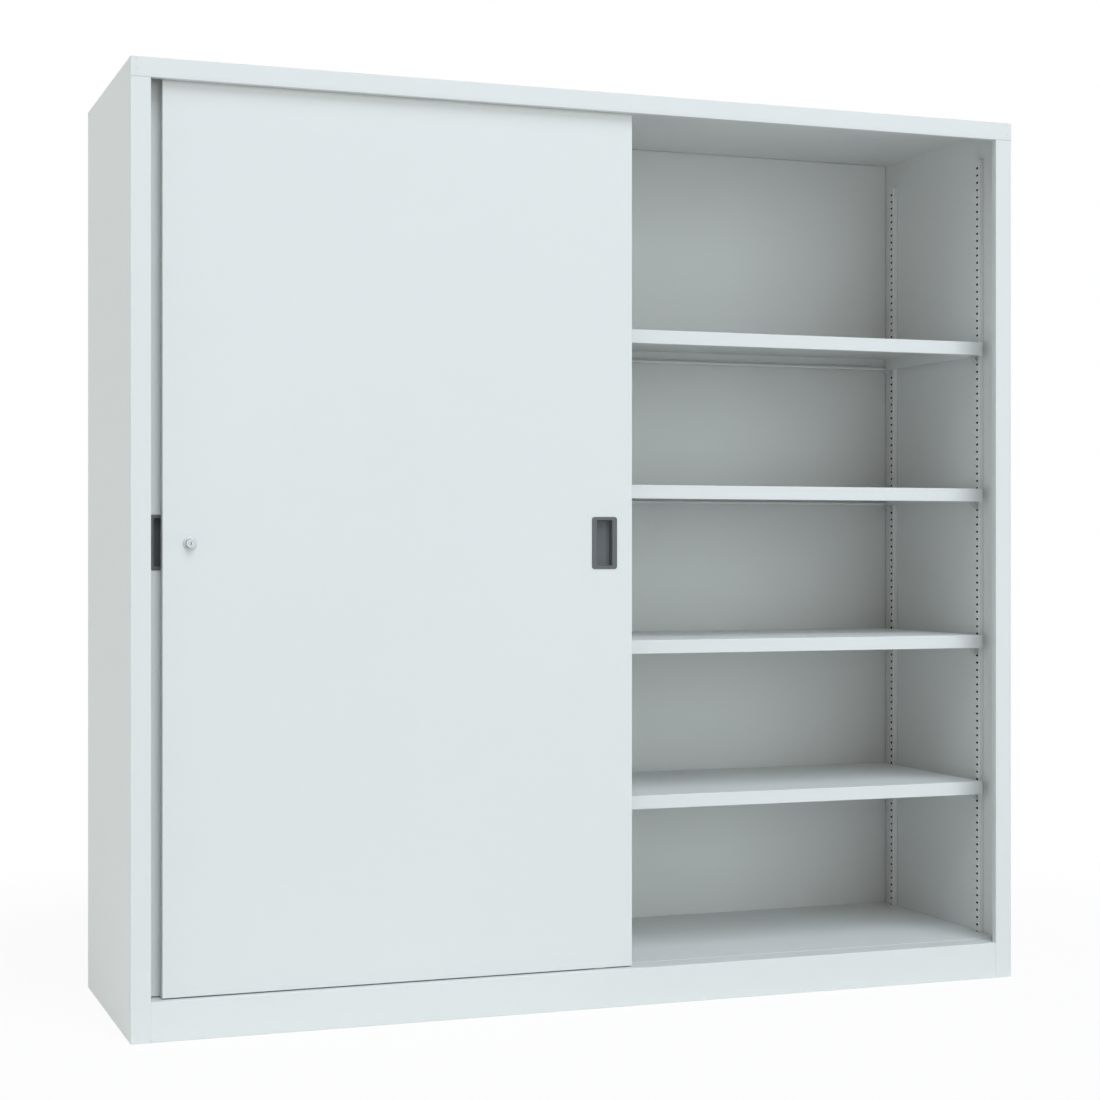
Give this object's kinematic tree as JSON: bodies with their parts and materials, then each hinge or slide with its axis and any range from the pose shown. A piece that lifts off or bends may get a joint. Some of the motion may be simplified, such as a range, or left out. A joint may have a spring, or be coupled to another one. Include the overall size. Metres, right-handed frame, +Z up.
{
  "type": "sliding door cabinet",
  "caption": "Wide floor-standing sheet steel cupboard with two hanging sliding doors, recessed grips, a push-in lock and adjustable shelves on slotted strips.",
  "frame": {"origin": "on the floor under the middle of the cupboard", "axes": "+X to the right along the width, +Y from the doors to the back, +Z up"},
  "size_m": [2, 0.6, 1.95],
  "materials": {
    "painted_steel": "smooth semi-matt light grey powder coat",
    "zinc_steel": "zinc plated sheet",
    "grip_plastic": "fine satin grain",
    "nylon": "moulded nylon",
    "rubber": "matt",
    "nickel": "bright nickel plate"
  },
  "bodies": {
    "carcass": {"left_side_panel": "painted_steel", "right_side_panel": "painted_steel", "top_panel": "painted_steel", "front_plinth": "painted_steel", "floor_panel": "painted_steel", "floor_support": "zinc_steel", "left_back_panel": "painted_steel", "right_back_panel": "painted_steel", "centre_partition": "painted_steel", "top_door_track": "zinc_steel", "front_track_left_stop": "rubber", "front_track_right_stop": "rubber", "rear_track_left_stop": "rubber", "rear_track_right_stop": "rubber", "front_bottom_guide": "nylon", "rear_bottom_guide": "nylon", "right_wall_front_strip": "painted_steel", "right_wall_back_strip": "painted_steel", "left_wall_front_strip": "painted_steel", "left_wall_back_strip": "painted_steel", "right_partition_front_strip": "painted_steel", "right_partition_back_strip": "painted_steel", "left_partition_front_strip": "painted_steel", "left_partition_back_strip": "painted_steel", "right_shelf_1": "painted_steel", "right_shelf_2": "painted_steel", "right_shelf_3": "painted_steel", "right_shelf_4": "painted_steel", "left_shelf_1": "painted_steel", "left_shelf_2": "painted_steel", "left_shelf_3": "painted_steel", "left_shelf_4": "painted_steel", "front_clip_1": "zinc_steel", "front_clip_2": "zinc_steel", "front_clip_3": "zinc_steel", "front_clip_4": "zinc_steel", "back_clip_1": "zinc_steel", "back_clip_2": "zinc_steel", "back_clip_3": "zinc_steel", "back_clip_4": "zinc_steel"},
    "front_door": {"front_door_panel": "painted_steel", "front_door_stiffener": "zinc_steel", "front_door_bottom_channel": "zinc_steel", "front_door_grip": "grip_plastic", "front_door_left_hanger": "zinc_steel", "front_door_right_hanger": "zinc_steel", "lock_case": "nickel"},
    "rear_door": {"rear_door_panel": "painted_steel", "rear_door_stiffener": "zinc_steel", "rear_door_bottom_channel": "zinc_steel", "rear_door_grip": "grip_plastic", "rear_door_left_hanger": "zinc_steel", "rear_door_right_hanger": "zinc_steel", "lock_strike": "zinc_steel"},
    "front_left_wheel": {"front_door_left_roller": "nylon"},
    "front_right_wheel": {"front_door_right_roller": "nylon"},
    "rear_left_wheel": {"rear_door_left_roller": "nylon"},
    "rear_right_wheel": {"rear_door_right_roller": "nylon"},
    "lock_plunger": {"lock_barrel": "nickel"},
    "lock_cylinder": {"key_core": "nickel"}
  },
  "joints": [
    {"name": "front_door_slide", "type": "slide", "parent": "carcass", "child": "front_door", "axis": [1, 0, 0], "range_m": [0, 0.9195]},
    {"name": "rear_door_slide", "type": "slide", "parent": "carcass", "child": "rear_door", "axis": [1, 0, 0], "range_m": [0, 0.9195]},
    {"name": "lock_push", "type": "slide", "parent": "front_door", "child": "lock_plunger", "axis": [0, 1, 0], "range_m": [0, 0.009]},
    {"name": "key_turn", "type": "hinge", "parent": "lock_plunger", "child": "lock_cylinder", "pos_m": [-0.8795, -0.29, 0.988], "axis": [0, 1, 0], "range_deg": [0, 90]},
    {"name": "front_left_roll", "type": "hinge", "parent": "front_door", "child": "front_left_wheel", "pos_m": [-0.8445, -0.27, 1.9373], "axis": [0, 1, 0], "continuous": true},
    {"name": "front_right_roll", "type": "hinge", "parent": "front_door", "child": "front_right_wheel", "pos_m": [-0.0165, -0.27, 1.9373], "axis": [0, 1, 0], "continuous": true},
    {"name": "rear_left_roll", "type": "hinge", "parent": "rear_door", "child": "rear_left_wheel", "pos_m": [-0.903, -0.241, 1.9373], "axis": [0, 1, 0], "continuous": true},
    {"name": "rear_right_roll", "type": "hinge", "parent": "rear_door", "child": "rear_right_wheel", "pos_m": [-0.075, -0.241, 1.9373], "axis": [0, 1, 0], "continuous": true}
  ],
  "couplings": [
    {"joint": "front_left_roll", "follows": "front_door_slide", "rad_per_m": 128.21},
    {"joint": "front_right_roll", "follows": "front_door_slide", "rad_per_m": 128.21},
    {"joint": "rear_left_roll", "follows": "rear_door_slide", "rad_per_m": 128.21},
    {"joint": "rear_right_roll", "follows": "rear_door_slide", "rad_per_m": 128.21}
  ]
}
